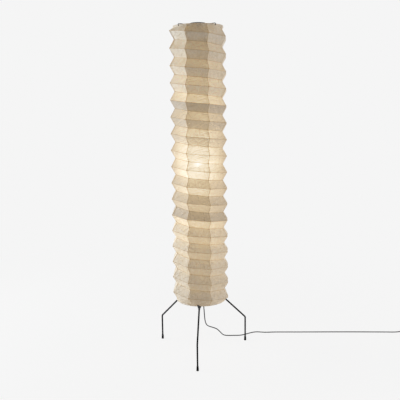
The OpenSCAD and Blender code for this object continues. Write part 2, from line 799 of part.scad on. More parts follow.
// The lead inside the lamp runs up beside the mast, swings over to the lampholder and ends in its cup
module inner_lead() {
    under = nipple_z - 8;
    swing = 70;
    points = concat(
        [for (t = [0, 0.5, 1]) [lead_at[0], lead_at[1], mix(hub_z + 0.05, under - swing, t)]],
        [for (t = [0.125 : 0.125 : 1])
            [mix(lead_at[0], bulb_at[0], ease(t)), mix(lead_at[1], bulb_at[1], ease(t)),
             mix(under - swing, under, t)]],
        [[bulb_at[0], bulb_at[1], cup_z + 12]]
    );
    color("#2a2a2a")
        route_tube(points, cord_r, 8, [1, 0, 0]);
}

// Clips that hold the lead to the mast
module lead_ties() {
    reach = norm(lead_at);
    color("#1f1f1f")
        for (z = tie_heights)
            translate([0, 0, z])
                linear_extrude(tie_h)
                    difference() {
                        union() {
                            circle(r = mast_r + tie_wall);
                            translate(lead_at)
                                circle(r = cord_r + tie_wall, $fn = small_fn);
                            rotate(atan2(lead_at[1], lead_at[0]))
                                translate([0, -cord_r])
                                    square([reach, cord_d]);
                        }
                        circle(r = mast_r + hole_gap);
                        translate(lead_at)
                            circle(r = cord_r + hole_gap, $fn = small_fn);
                    }
}

// Tapered strain relief under the hub
module cord_grip() {
    collar = cord_r + 3.2;
    color("#151515")
        translate([lead_at[0], lead_at[1], grip_z])
            rotate_extrude($fn = small_fn)
                polygon([[0, 0], [cord_r + 0.8, 0], [cord_r + 1.1, 1], [cord_r + 2.2, grip_h - 5],
                    [collar, grip_h - 4], [collar, grip_h - 0.05], [0, grip_h - 0.05]]);
}

// Cord
module cord_free() {
    color("#3a3a3c")
        route_tube(cord_points, cord_r, 8, [1, 0, 0]);
}
module cord_coil() {
    color("#3a3a3c")
        route_tube(coil_points, cord_r, 6, [0, 0, 1]);
}

// Switch: two halves of a housing and a rocker, in line with the cord along +X
module switch_outline() {
    half_w = switch_w / 2;
    offset(r = 4)
        offset(delta = -4)
            polygon([[0, -half_w + 5], [10, -half_w], [switch_l - 10, -half_w], [switch_l, -half_w + 5],
                [switch_l, half_w - 5], [switch_l - 10, half_w], [10, half_w], [0, half_w - 5]]);
}
module at_switch() {
    translate([switch_start[0], switch_start[1], 0])
        children();
}
// Room for the rocker and the wires, and the two screw holes
module switch_hollow(from, to) {
    translate([switch_l / 2 - rocker_l / 2 - 1.2, -rocker_w / 2 - 0.5, from])
        cube([rocker_l + 2.4, rocker_w + 1, to - from]);
}
screw_places = [[16, 0], [switch_l - 16, 0]];
module switch_base() {
    color("#202022")
        at_switch()
            difference() {
                linear_extrude(switch_split_z)
                    switch_outline();
                switch_hollow(switch_wall, switch_split_z + cut);
                for (p = screw_places)
                    translate([p[0], p[1], -cut])
                        cylinder(r = 1.6, h = switch_split_z + 2 * cut, $fn = small_fn);
                for (p = screw_places)
                    translate([p[0], p[1], -cut])
                        cylinder(r = 3, h = 2.5 + cut, $fn = small_fn);
            }
}
module switch_cover() {
    color("#202022")
        at_switch()
            difference() {
                translate([0, 0, switch_split_z + 0.05])
                    linear_extrude(switch_h - switch_split_z - 0.05)
                        switch_outline();
                switch_hollow(switch_split_z - cut, switch_h + cut);
                translate([switch_l / 2, -rocker_w / 2 - 2.5, rocker_z])
                    rotate([-90, 0, 0])
                        cylinder(r = rocker_pin_r + 0.05, h = rocker_w + 5, $fn = small_fn);
                for (p = screw_places)
                    translate([p[0], p[1], switch_split_z - cut])
                        cylinder(r = 1.6, h = 5.5 + cut, $fn = small_fn);
            }
}
module switch_screws() {
    color("#9a9ca0")
        at_switch()
            for (p = screw_places)
                translate([p[0], p[1], 0])
                    union() {
                        translate([0, 0, 0.6])
                            cylinder(r = 2.8, h = 1.8, $fn = small_fn);
                        translate([0, 0, 2.3])
                            cylinder(r = 1.5, h = 9.5, $fn = small_fn);
                    }
}
// The rocker rests with its near end pressed, and turns to press its far end
module switch_rocker() {
    half_l = rocker_l / 2;
    color("#2c2c2e")
        at_switch()
            translate([switch_l / 2, 0, rocker_z])
                rotate([0, -rocker_tilt, 0])
                    union() {
                        translate([0, rocker_w / 2, 0])
                            rotate([90, 0, 0])
                                linear_extrude(rocker_w)
                                    polygon([[-half_l, 1], [-half_l, 3.2], [0, 4.4], [half_l, 3.2],
                                        [half_l, 1], [half_l - 5, -2.5], [5 - half_l, -2.5]]);
                        translate([0, rocker_w / 2 + 2, 0])
                            rotate([90, 0, 0])
                                cylinder(r = rocker_pin_r, h = rocker_w + 4, $fn = small_fn);
                    }
}

// Plug: a flat moulded body with a tapered neck, and two round pins, pointing to -Y
module at_plug() {
    translate([plug_at[0], plug_at[1], plug_line_z])
        rotate([90, 0, 0])
            children();
}
module plug_body() {
    color("#202022")
        at_plug()
            difference() {
                union() {
                    cylinder(r1 = cord_r + 0.8, r2 = cord_r + 2.2, h = plug_neck, $fn = small_fn);
                    translate([0, 0, plug_neck - 1])
                        linear_extrude(plug_l)
                            offset(r = 3, $fn = small_fn)
                                square([plug_w - 6, plug_t - 6], center = true);
                }
                for (side = [-1, 1])
                    translate([side * pin_pitch / 2, 0, plug_face - pin_root])
                        cylinder(r = pin_root_r + 0.05, h = pin_root + cut, $fn = small_fn);
            }
}
module plug_pins() {
    color("#c8c9cc")
        at_plug()
            for (side = [-1, 1])
                translate([side * pin_pitch / 2, 0, 0])
                    union() {
                        rod(pin_r, plug_face, plug_face + pin_l, 0.6);
                        rod(pin_root_r, plug_face - pin_root + 0.2, plug_face + 1);
                    }
}

paper_panel(1);  // paper_panel_1
paper_panel(2);  // paper_panel_2
paper_panel(3);  // paper_panel_3
paper_panel(4);  // paper_panel_4
paper_panel(5);  // paper_panel_5
paper_panel(6);  // paper_panel_6
paper_panel(7);  // paper_panel_7
paper_panel(8);  // paper_panel_8
middle_lining();
ridge_rib();
valley_rib();
hoop(top_hoop_r, hoop_top_z);  // hoop_top
hoop(bottom_hoop_r, hoop_bottom_z);  // hoop_bottom
crown_boss();
crown_cap();
crown_arm(1);  // crown_arm_1
crown_arm(2);  // crown_arm_2
crown_arm(3);  // crown_arm_3
crown_arm(4);  // crown_arm_4
mast_lower();
mast_upper();
mast_joiner();
hub();
hub_screws();
mast_screw();
leg(leg_azimuths[0]);  // leg_front
leg(leg_azimuths[1]);  // leg_right
leg(leg_azimuths[2]);  // leg_left
foot(leg_azimuths[0]);  // foot_front
foot(leg_azimuths[1]);  // foot_right
foot(leg_azimuths[2]);  // foot_left
rim_clip(leg_azimuths[0]);  // rim_clip_front
rim_clip(leg_azimuths[1]);  // rim_clip_right
rim_clip(leg_azimuths[2]);  // rim_clip_left
holder_arm();
arm_screw();
holder_nipple();
holder_cup();
holder_skirt();
bulb_cap();
bulb_glass();
inner_lead();
lead_ties();
cord_grip();
cord_free();
switch_base();
switch_cover();
switch_screws();
switch_rocker();
cord_coil();
plug_body();
plug_pins();
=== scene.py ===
# %% [markdown]
# # A paper lantern floor lamp
# A tall shade of folded paper stands over a wire tripod. A thin mast runs up inside it and carries one bulb
# and a crown of four arms, from which the shade hangs. The CAD model brings every hard part at its true
# size, so this lesson adds what CAD is poor at: crumpled paper, a soft cord, and finishes.

# %% The frame
import math
import random
from types import SimpleNamespace

import bmesh
import bpy
from mathutils import Matrix, Vector, geometry, noise


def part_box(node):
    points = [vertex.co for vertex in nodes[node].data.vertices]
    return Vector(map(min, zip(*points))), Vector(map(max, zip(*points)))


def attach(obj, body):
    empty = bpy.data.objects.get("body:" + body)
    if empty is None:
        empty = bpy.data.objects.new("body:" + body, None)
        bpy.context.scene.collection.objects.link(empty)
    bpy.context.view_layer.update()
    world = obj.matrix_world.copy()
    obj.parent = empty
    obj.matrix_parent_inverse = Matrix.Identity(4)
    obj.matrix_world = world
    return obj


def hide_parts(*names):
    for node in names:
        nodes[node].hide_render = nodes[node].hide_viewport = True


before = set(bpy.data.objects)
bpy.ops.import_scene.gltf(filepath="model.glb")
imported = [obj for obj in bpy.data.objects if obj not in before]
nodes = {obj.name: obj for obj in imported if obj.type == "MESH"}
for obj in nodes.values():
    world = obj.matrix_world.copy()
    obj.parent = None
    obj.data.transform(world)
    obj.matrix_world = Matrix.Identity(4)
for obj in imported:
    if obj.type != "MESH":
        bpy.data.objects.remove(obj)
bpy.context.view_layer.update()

# %% [markdown]
# ## Camera
# The lamp was seen from a little right of its front and slightly from above, with a short telephoto lens.
# Three axes say how the camera stands, which is easier to check against a picture than three angles.

# %% Camera
CAMERA_AT = (0.29678, -3.53234, 1.52720)
CAMERA_RIGHT = (0.99659, 0.08161, -0.01255)
CAMERA_UP = (-0.00112, 0.16531, 0.98624)
CAMERA_BACK = (0.08256, -0.98286, 0.16483)


def new_object(name, data):
    """An object that is in the scene."""
    made = bpy.data.objects.new(name, data)
    bpy.context.scene.collection.objects.link(made)
    return made


camera = new_object("camera", bpy.data.cameras.new("camera"))
camera_axes = Matrix((CAMERA_RIGHT, CAMERA_UP, CAMERA_BACK)).transposed()
camera.matrix_world = Matrix.Translation(CAMERA_AT) @ camera_axes.to_4x4()
camera.data.lens = 54.47
camera.data.sensor_width = 36
bpy.context.scene.camera = camera
print("camera at", [round(x, 3) for x in camera.matrix_world.translation])

# %% [markdown]
# ## Small helpers
# A piece is made in a bmesh and becomes an object only when its shape is done. Its place is in its mesh,
# so that object coordinates and the CAD frame are one and the same.

# %% Helpers for pieces
MM = 0.001


def piece_from(bm, name, body):
    """Turns a bmesh into a smooth piece that rides on a CAD body."""
    mesh = bpy.data.meshes.new(name)
    for face in bm.faces:
        face.smooth = True
    bm.to_mesh(mesh)
    bm.free()
    piece = new_object(name, mesh)
    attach(piece, body)
    return piece


print("a piece's millimetre is", MM, "of Blender's units")

# %% [markdown]
# ## Cord
# The lead leaves a grip under the hub, falls in one easy arc to the floor, makes a loose bend there and runs
# off to the right. A curve is the right tool: it has one centreline, and its thickness is a bevel. Bezier
# handles that follow the neighbours of each point give the same smooth line as the CAD model's route.

# %% A cord along its points
CORD_D = 6 * MM
CORD_STEPS, CORD_SIDES = 4, 3
CORD_WELD = 0.02 * MM


def cord_spline(curve, points):
    """One open spline through the points, with handles along the line from neighbour to neighbour."""
    spline = curve.splines.new("BEZIER")
    spline.bezier_points.add(len(points) - 1)
    last = len(points) - 1
    for i, knot in enumerate(spline.bezier_points):
        before, here, after = points[max(i - 1, 0)], points[i], points[min(i + 1, last)]
        along = (after - before).normalized()
        knot.handle_left_type = knot.handle_right_type = "FREE"
        knot.co = here
        knot.handle_left = here - along * (here - before).length / 3
        knot.handle_right = here + along * (after - here).length / 3
    spline.resolution_u = CORD_STEPS
    return spline


def cord_curve(name, points, diameter):
    """A round cord along points in millimetres: a curve turned into a closed tube, its path and length."""
    curve = bpy.data.curves.new(name, "CURVE")
    curve.dimensions = "3D"
    points = [Vector(p) * MM for p in points]
    spline = cord_spline(curve, points)
    curve.bevel_depth = diameter / 2
    curve.bevel_resolution = CORD_SIDES
    curve.use_fill_caps = True
    shape = new_object(name + "_curve", curve)
    tube = bmesh.new()
    tube.from_mesh(shape.evaluated_get(bpy.context.evaluated_depsgraph_get()).to_mesh())
    bmesh.ops.remove_doubles(tube, verts=tube.verts[:], dist=CORD_WELD)
    path = []
    for one, two in zip(spline.bezier_points, spline.bezier_points[1:]):
        ends = (one.co, one.handle_right, two.handle_left, two.co)
        path += geometry.interpolate_bezier(*ends, CORD_STEPS + 1)[:-1]
    path.append(points[-1])
    length = sum((b - a).length for a, b in zip(path, path[1:]))
    bpy.data.objects.remove(shape)
    return piece_from(tube, name, "stand"), path, length


print("cord", CORD_D, "m thick")

# %% [markdown]
# The points are the route of the cord in the CAD model, in millimetres: first the fall from the grip, then
# the bend on the floor, and last the climb into the switch.

# %% Lead to the switch
LEAD_POINTS = [
    (10, -6, 377), (10, -6, 371), (10, -6, 355), (11, -5, 333), (12, -2, 308), (14, 5, 279), (15, 16, 249),
    (15, 34, 219), (15, 56, 187), (15, 84, 155), (16, 118, 126), (18, 150, 104), (23, 180, 84),
    (33, 205, 68), (46, 222, 57), (59, 232, 49), (72, 238, 42), (84, 241, 34), (93, 241, 26),
    (102, 239, 18), (111, 234, 10), (121, 227, 5), (132, 221, 3), (147, 217, 3), (168, 217, 3),
    (190, 220, 3), (212, 221, 3), (233, 225, 3), (251, 233, 3), (268, 245, 3), (287, 260, 3), (306, 274, 3),
    (325, 284, 3), (346, 288, 3), (368, 286, 3), (392, 284, 3), (420, 286, 3), (460, 291, 3), (630, 300, 3),
    (930, 317, 3), (1190, 328, 3), (1238, 329.5, 3), (1264, 330, 5), (1284, 330, 8), (1290, 330, 8),
]
lead_to_switch, lead_path, lead_length = cord_curve("lead_to_switch", LEAD_POINTS, CORD_D)
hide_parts("cord_free")
print("lead to the switch:", round(lead_length, 3), "m")

# %% [markdown]
# The rest of the lead is put away beside the switch as a flat coil of two layers: it spirals in on the floor,
# climbs once, and spirals out again on top of itself, so that both of its ends are on the outside. Radius and
# height of such a coil are plain functions of the number of turns, and half a turn is enough for the climb.

# %% Shape of the coil
COIL_X, COIL_Y = 1412, 290.4
COIL_STEP = 6.6
COIL_OUTER, COIL_INNER = 39.6, 26.4
TURNS_IN, TURNS_CLIMB, TURNS_ALL = 2, 0.5, 4.25
LYING = 3
TIE_AZIMUTH, TIE_LIFT, TIE_SPREAD = -150, 0.7, 14


def mix(a, b, t):
    return a + (b - a) * t


def ease(t):
    """0 below 0, 1 above 1 and a smooth rise between."""
    t = max(0.0, min(1.0, t))
    return t * t * (3 - 2 * t)


def coil_radius(turns):
    back = turns - TURNS_IN
    if back < 0:
        return COIL_OUTER - COIL_STEP * turns
    if back < TURNS_CLIMB:
        return COIL_INNER - COIL_STEP * min(back, TURNS_CLIMB - back)
    return COIL_INNER + COIL_STEP * (back - TURNS_CLIMB)


def coil_point(turns):
    """A point of the coil's centreline, in millimetres."""
    r, a = coil_radius(turns), math.pi / 2 - math.tau * turns
    # The tie's strap lifts the turns by its own thickness
    off_tie = (math.degrees(a) - TIE_AZIMUTH + 180) % 360 - 180
    lift = TIE_LIFT * math.exp(-(off_tie / TIE_SPREAD) ** 2)
    return (COIL_X + r * math.cos(a), COIL_Y + r * math.sin(a),
            LYING + lift + COIL_STEP * ease((turns - TURNS_IN) / TURNS_CLIMB))


print("coil", 2 * COIL_OUTER + COIL_STEP, "mm across")

# %% [markdown]
# A short run leads from the switch down into the first turn, and another from the last turn down to the plug.

# %% Coil of spare lead
POINTS_A_TURN = 24
SWITCH_END, RUN_IN = (1362, 330, 8), 50
PLUG_AT, PLUG_RUN = (1449.95, 246.4, 7.5), 44
TOP_LAYER = 9.6
coil_points = [SWITCH_END, (1368, 330, 8)]
coil_points += [(SWITCH_END[0] + RUN_IN * s, SWITCH_END[1], mix(SWITCH_END[2], LYING, ease((s - 0.12) / 0.8)))
                for s in (0.3, 0.475, 0.65, 0.825)]
coil_points += [coil_point(k / POINTS_A_TURN) for k in range(int(TURNS_ALL * POINTS_A_TURN) + 1)]
coil_points += [(PLUG_AT[0], COIL_Y - PLUG_RUN * s, mix(TOP_LAYER, PLUG_AT[2], ease(s / 0.86)))
                for s in (0.25, 0.45, 0.65, 0.85)]
coil_points += [PLUG_AT]
lead_to_plug, coil_path, coil_length = cord_curve("lead_to_plug", coil_points, CORD_D)
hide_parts("cord_coil")
print("lead from the switch to the plug:", round(coil_length, 3), "m")

# %% [markdown]
# A soft strap holds the coil together. It is a ring that was pressed to a rounded rectangle and swept to the
# width of the strap, with a small thick tab on top where its end is tucked in. It is made lying at the origin
# and is then turned on to the coil, so that every measure in its making is a plain one.

# %% Strap of the tie
TIE_HALF_WIDTH, TIE_HALF_HEIGHT = 10.6 * MM, 6.75 * MM
TIE_SQUARE, TIE_THICK = 0.55, 0.6 * MM
tie = bmesh.new()
bmesh.ops.create_circle(tie, segments=40, radius=1)
for corner in tie.verts:
    x, y = corner.co.x, corner.co.y
    corner.co.x = math.copysign(abs(x) ** TIE_SQUARE, x) * TIE_HALF_WIDTH
    corner.co.y = math.copysign(abs(y) ** TIE_SQUARE, y) * TIE_HALF_HEIGHT
swept = bmesh.ops.extrude_edge_only(tie, edges=tie.edges[:])
moved = [g for g in swept["geom"] if isinstance(g, bmesh.types.BMVert)]
bmesh.ops.translate(tie, verts=moved, vec=(0, 0, 9 * MM))
bmesh.ops.translate(tie, verts=tie.verts[:], vec=(0, 0, -4.5 * MM))
bmesh.ops.recalc_face_normals(tie, faces=tie.faces[:])
bmesh.ops.solidify(tie, geom=tie.faces[:], thickness=TIE_THICK)
print("strap:", len(tie.faces), "faces")

# %% [markdown]
# The tab is a bevelled block on the strap. With it the tie is done.

# %% Tab and place of the tie
TAB_SIZE = (8 * MM, 1.6 * MM, 9.6 * MM)
COIL_MIDDLE_R = 33
tab = bmesh.ops.create_cube(tie, size=1)
bmesh.ops.scale(tie, verts=tab["verts"], vec=TAB_SIZE)
bmesh.ops.translate(tie, verts=tab["verts"], vec=(2 * MM, TIE_HALF_HEIGHT + 0.5 * MM, 0))
tab_edges = [e for e in tie.edges if set(e.verts) <= set(tab["verts"])]
bmesh.ops.bevel(tie, geom=tab_edges, offset=0.5 * MM, offset_type="OFFSET", affect="EDGES",
                segments=2, profile=0.5, material=-1)
tie_turn = math.radians(TIE_AZIMUTH)
outwards, upwards = Vector((math.cos(tie_turn), math.sin(tie_turn), 0)), Vector((0, 0, 1))
tie_axes = Matrix((outwards, upwards, outwards.cross(upwards))).transposed().to_4x4()
tie_at = Vector((COIL_X, COIL_Y, 0)) * MM + outwards * COIL_MIDDLE_R * MM + Vector((0, 0, TIE_HALF_HEIGHT))
bmesh.ops.transform(tie, matrix=Matrix.Translation(tie_at) @ tie_axes, verts=tie.verts[:])
coil_tie = piece_from(tie, "coil_tie", "stand")
print("coil tie:", len(coil_tie.data.polygons), "faces")

# %% [markdown]
# ## Shader maths
# A finish is a sum of many small patterns. Written as a formula it is easy to read and to change, so a small
# class stands for one output of a node, and the signs of arithmetic between two of them add the Math nodes.
# Every other node comes from one method, which takes its settings and then the values of its inputs.

# %% A class for shader maths


class Wire:
    """One output of a shader node. Python's arithmetic on it adds Math nodes."""

    def __init__(self, tree, socket=None):
        self.tree, self.socket = tree, socket

    def add(self, kind, values=None, out=0, stops=None, **settings):
        """Adds a node: its settings first, then the values or links of its inputs. Gives one output of it,
        or a list of several."""
        node = self.tree.nodes.new(kind)
        for name, value in settings.items():
            setattr(node, name, value)
        if stops:
            ramp = node.color_ramp
            while len(ramp.elements) < len(stops):
                ramp.elements.new(0.5)
            for element, (place, tone) in zip(ramp.elements, stops):
                element.position = place
                element.color = colour(*tone)
        for key, value in (values or {}).items():
            if isinstance(value, Wire):
                self.tree.links.new(value.socket, node.inputs[key])
            else:
                node.inputs[key].default_value = value
        if isinstance(out, tuple):
            return [Wire(self.tree, node.outputs[one]) for one in out]
        return Wire(self.tree, node.outputs[out])

    def maths(self, operation, *others):
        return self.add("ShaderNodeMath", dict(enumerate((self, *others))), operation=operation)

    def vector(self, operation, *others, out=0):
        values = dict(enumerate((self, *others)))
        return self.add("ShaderNodeVectorMath", values, out=out, operation=operation)

    def dot(self, other):
        return self.vector("DOT_PRODUCT", other, out="Value")

    def scaled(self, factor):
        return self.add("ShaderNodeVectorMath", {0: self, "Scale": factor}, operation="SCALE")

    def step(self, low, high):
        """0 below low, 1 above high and a smooth rise between."""
        return self.add("ShaderNodeMapRange", {0: self, 1: low, 2: high}, interpolation_type="SMOOTHSTEP")

    def blend(self, first, second):
        """Mixes two colours by this value."""
        return self.add("ShaderNodeMix", {0: self, 6: first, 7: second}, out=2, data_type="RGBA")

    def clouds(self, scale, detail, out=0, **values):
        """Soft noise at the places that this wire carries."""
        return self.add("ShaderNodeTexNoise", {"Vector": self, "Scale": scale, "Detail": detail, **values},
                        out=out)

    def web(self, scale, thin, wide):
        """1 along the edges of irregular cells, as in a web of threads, and 0 inside them."""
        cells = self.add("ShaderNodeTexVoronoi", {"Vector": self, "Scale": scale}, feature="DISTANCE_TO_EDGE")
        return 1 - cells.step(thin, wide)

    def __add__(self, other):
        return self.maths("ADD", other)

    def __sub__(self, other):
        return self.maths("SUBTRACT", other)

    def __rsub__(self, other):
        return self.add("ShaderNodeMath", {0: other, 1: self}, operation="SUBTRACT")

    def __mul__(self, other):
        return self.maths("MULTIPLY", other)

    def __truediv__(self, other):
        return self.maths("DIVIDE", other)

    def __pow__(self, other):
        return self.maths("POWER", other)

    def __abs__(self):
        return self.maths("ABSOLUTE")

    __radd__, __rmul__ = __add__, __mul__


def colour(r, g, b):
    return (r, g, b, 1)


def grey(level):
    return colour(level, level, level)


def new_material(name):
    """A material without nodes, and a Wire to build it with."""
    material = bpy.data.materials.new(name)
    material.use_nodes = True
    material.node_tree.nodes.clear()
    return material, Wire(material.node_tree)


print("Wire ready")

# %% [markdown]
# ## Stage
# A pale floor runs back to the horizon. The camera sees a plain backdrop, but the studio's lamps are what
# lights the shade, so the world shows one strength to the camera and a far lower one to everything else.
# Glossy and transmitted rays are added, so that metal and glass show the same backdrop as the picture does.

# %% World
BACKDROP, WORLD_LIGHT = 0.913, 0.015
world = bpy.data.worlds.new("studio")
bpy.context.scene.world = world
world.use_nodes = True
world.node_tree.nodes.clear()


def seen_rays(wire):
    """1 for rays that show the backdrop: straight from the camera, or by way of a gloss or a glass."""
    straight, gloss, glass = wire.add(
        "ShaderNodeLightPath", out=("Is Camera Ray", "Is Glossy Ray", "Is Transmission Ray"))
    return straight.maths("MAXIMUM", gloss.maths("MAXIMUM", glass))


sky = Wire(world.node_tree)
plain = sky.add("ShaderNodeBackground", {"Color": grey(1), "Strength": WORLD_LIGHT})
shown = sky.add("ShaderNodeBackground", {"Color": grey(1), "Strength": BACKDROP})
sky_seen = sky.add("ShaderNodeMixShader", {0: seen_rays(sky), 1: plain, 2: shown})
sky.add("ShaderNodeOutputWorld", {"Surface": sky_seen}, out=())
print("backdrop", BACKDROP, "and world light", WORLD_LIGHT)

# %% [markdown]
# The floor has to melt into that backdrop and still carry the lamp's shadow. Far away it is all glow, at the
# backdrop's level. Near the lamp a small share of its tone comes from the light, and the glow makes up the
# rest, so the level stays the same and only the shadow shows.

# %% Floor
FLOOR_SHARE, FLOOR_LIT, FLOOR_TONE = 0.14, 0.30, 0.8
SHADOW_NEAR, SHADOW_FAR = 0.6, 3.0
FLOOR_R = 40
floor_material, w = new_material("floor")
spot = w.add("ShaderNodeTexCoord", out="Object")
lit = w.add("ShaderNodeBsdfDiffuse", {"Color": grey(FLOOR_TONE)})
near = 1 - spot.vector("LENGTH", out="Value").step(SHADOW_NEAR, SHADOW_FAR)
even = (BACKDROP - FLOOR_SHARE * FLOOR_LIT) / (1 - FLOOR_SHARE)
floor_glow = w.add("ShaderNodeEmission", {"Color": near.blend(grey(BACKDROP), grey(even)), "Strength": 1.0})
floor_seen = w.add("ShaderNodeMixShader", {0: 1 - near * FLOOR_SHARE, 1: lit, 2: floor_glow})
floor_all = w.add("ShaderNodeMixShader", {0: seen_rays(w), 1: lit, 2: floor_seen})
w.add("ShaderNodeOutputMaterial", {"Surface": floor_all}, out=())

ground = bmesh.new()
bmesh.ops.create_circle(ground, cap_ends=True, segments=64, radius=FLOOR_R)
ground_mesh = bpy.data.meshes.new("floor")
ground.to_mesh(ground_mesh)
ground.free()
ground_mesh.materials.append(floor_material)
floor = new_object("floor", ground_mesh)
print("floor radius", FLOOR_R, "m")

# %% [markdown]
# Two wide lamps light the shade from its sides, the left one about twice as strong, as in the studio. A
# weaker one above gives the rim and the floor some light, and a small one low in front lifts the feet out of
# the dark. Wide lamps are chosen because they give the soft steps of tone from facet to facet that paper has.

# %% Lamps
LAMPS = {
    # Azimuth, distance and height of the lamp, its width, its level and its colour
    "lamp_left": (-93, 4.2, 1.25, 2.6, 0.84, (0.95, 0.99, 1.0)),
    "lamp_right": (87, 4.2, 1.25, 2.6, 0.43, (1.0, 0.98, 0.95)),
    "lamp_above": (0, 2.6, 5.4, 3.0, 0.24, (1.0, 1.0, 1.0)),
    "lamp_low": (5, 1.15, 0.12, 0.7, 0.085, (1.0, 0.99, 0.96)),
}
LAMPS_AIM = Vector((0, 0, 1.1))


def polar(r, azimuth, z):
    """A point by its azimuth in degrees, from -Y towards +X."""
    a = math.radians(azimuth)
    return Vector((r * math.sin(a), -r * math.cos(a), z))


def soft_lamp(name, azimuth, distance, height, width, level, tone):
    """A wide square lamp. Level 1 lights a white sheet that faces it at the lamp shade to plain white."""
    light = bpy.data.lights.new(name, "AREA")
    light.shape, light.size = "SQUARE", width
    light.energy = level * math.pi ** 2 * distance ** 2
    light.color = tone
    lamp = new_object(name, light)
    lamp.location = polar(distance, azimuth, height)
    aim = LAMPS_AIM - lamp.location
    lamp.rotation_mode = "QUATERNION"
    lamp.rotation_quaternion = aim.to_track_quat("-Z", "Y")
    lamp.visible_camera = False


for lamp_name, lamp_facts in LAMPS.items():
    soft_lamp(lamp_name, *lamp_facts)
print(len(LAMPS), "lamps")

# %% [markdown]
# ## Paper
# The shade is eight strips of handmade paper, pasted edge to edge into a tube and pleated round a long thread
# of bamboo, so the folds climb like a screw. Each strip is a flat grid whose rows and columns are moved on to
# the folds: the operators keep it a clean sheet, and only the places are worked out here. The sheet gets its
# crumples while it is still one surface, and Solidify gives it its thickness at the end.

# %% Sizes of the shade
SHADE_H, FOLD_TURNS, FOLD_SAG = 1.610, 17, 0.006
TOP_R, BOTTOM_R, FOLD_DEPTH = 0.171, 0.177, 0.028
PANELS, FRONT_PANEL = 8, 5
PANEL_ANGLE, HALF_PANEL, SHADE_TURN = 45, 22.5, 2
HALF_COS = math.cos(math.radians(HALF_PANEL))
PAPER_THICK = 0.35 * MM
PITCH = SHADE_H / FOLD_TURNS
FACET_L = math.hypot(PITCH / 2, FOLD_DEPTH)
# The first and the last fold of the part with a second sheet of paper behind it
LINED = (8, 22)
print("a facet is", round(FACET_L, 4), "m from fold to fold")

# %% [markdown]
# At each rim the paper runs straight for a narrow band and is folded in over a wire hoop. The folds fade out
# before they reach the band.

# %% Sizes of the rims
HOOP_D = 3.5 * MM
RIM_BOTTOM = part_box("paper_panel_5")[0][2]
RIM_TOP = RIM_BOTTOM + SHADE_H
RIM_EDGE = HOOP_D / 2 + 0.85 * MM
RIM_BAND, FOLD_FADE, FOLD_STEP = 12 * MM, 14 * MM, 0.8 * MM
HOOPS = {"top": (0.140, RIM_TOP - RIM_EDGE), "bottom": (0.146, RIM_BOTTOM + RIM_EDGE)}
HIGH_BAND, LOW_BAND = RIM_TOP - RIM_BAND, RIM_BOTTOM + RIM_BAND
BAND_GAP, HEM_INSIDE, HEM_SHOULDER = 1.2 * MM, 3.5 * MM, 0.4 * MM
HEM_ANGLES = (0, 30, 60, 90, 120)


def band_r(which):
    """Radius of the straight band round a hoop."""
    return HOOPS[which][0] + HOOP_D / 2 + BAND_GAP


def hem(which):
    """Rows of the hem that is folded over a hoop, from the inside outwards, as radius and height."""
    r, z = HOOPS[which]
    side = 1 if which == "top" else -1
    wrap = HOOP_D / 2 + PAPER_THICK
    rows = [(r - wrap, z - side * HEM_INSIDE)]
    rows += [(r - wrap * math.cos(math.radians(a)), z + side * wrap * math.sin(math.radians(a)))
             for a in HEM_ANGLES]
    rows += [(band_r(which), z + side * HEM_SHOULDER), (band_r(which), z - side * (RIM_BAND - RIM_EDGE))]
    return rows


print("paper from", round(RIM_BOTTOM, 4), "to", round(RIM_TOP, 4), "m")

# %% [markdown]
# The folds are numbered from the top, ridges even and valleys odd. One turn round the shade moves a fold down
# by one pitch, and the whole shade sags by a few millimetres in its middle. A fold is a straight line across
# each panel, because a panel is flat between its two corners.

# %% Where the folds lie


def fold_z(fold, azimuth):
    place = fold / 2 + azimuth / 360
    share = place / (FOLD_TURNS - 1)
    return RIM_TOP - PITCH * (place + 0.5) - FOLD_SAG * 4 * share * (1 - share)


def fold_corner_r(fold, azimuth):
    """Radius of a fold at a corner of the shade."""
    share = (fold / 2 + azimuth / 360) / (FOLD_TURNS - 1)
    return mix(TOP_R, BOTTOM_R, share) - (FOLD_DEPTH if fold % 2 else 0)


def kept_folds(low, high):
    """The folds that stay clear of both bands between two azimuths."""
    return [f for f in range(-2, 2 * FOLD_TURNS + 2)
            if fold_z(f, high) < HIGH_BAND - 2 * FOLD_STEP and fold_z(f, low) > LOW_BAND + 2 * FOLD_STEP]


def fold_station(fold, azimuth, middle):
    """Radius and height of a fold at an azimuth, on the flat panel that lies round a middle."""
    z = fold_z(fold, azimuth)
    depth = ease(min(HIGH_BAND - z, z - LOW_BAND) / FOLD_FADE)
    flat_r = fold_corner_r(fold, azimuth) * HALF_COS / math.cos(math.radians(azimuth - middle))
    rim_r = band_r("top" if fold < FOLD_TURNS else "bottom")
    return mix(rim_r, flat_r, depth), max(LOW_BAND + FOLD_STEP, min(HIGH_BAND - FOLD_STEP, z))


print("folds on the front panel:", len(kept_folds(-HALF_PANEL, HALF_PANEL)))

# %% [markdown]
# Rows and columns of the grid come next. A row lies between two stations, which are folds or lines of a hem,
# and each facet between two folds gets eight rows, enough for its crumples. Two more columns reach beyond the
# panel's corner: they are the edge that is pasted on to the next panel.

# %% Rows and columns of a panel
ACROSS, DOWN, BAND_ROWS = 24, 8, 3
LAP = (2.6 * MM, 5.2 * MM)
MEAN_R = 0.165
FAR = 0.02


def panel_columns(middle):
    """Azimuths of the columns, and the two beyond the corner that overlap the next panel."""
    columns = [middle - HALF_PANEL + PANEL_ANGLE * k / ACROSS for k in range(ACROSS + 1)]
    return columns + [columns[-1] + math.degrees(reach / MEAN_R) for reach in LAP]


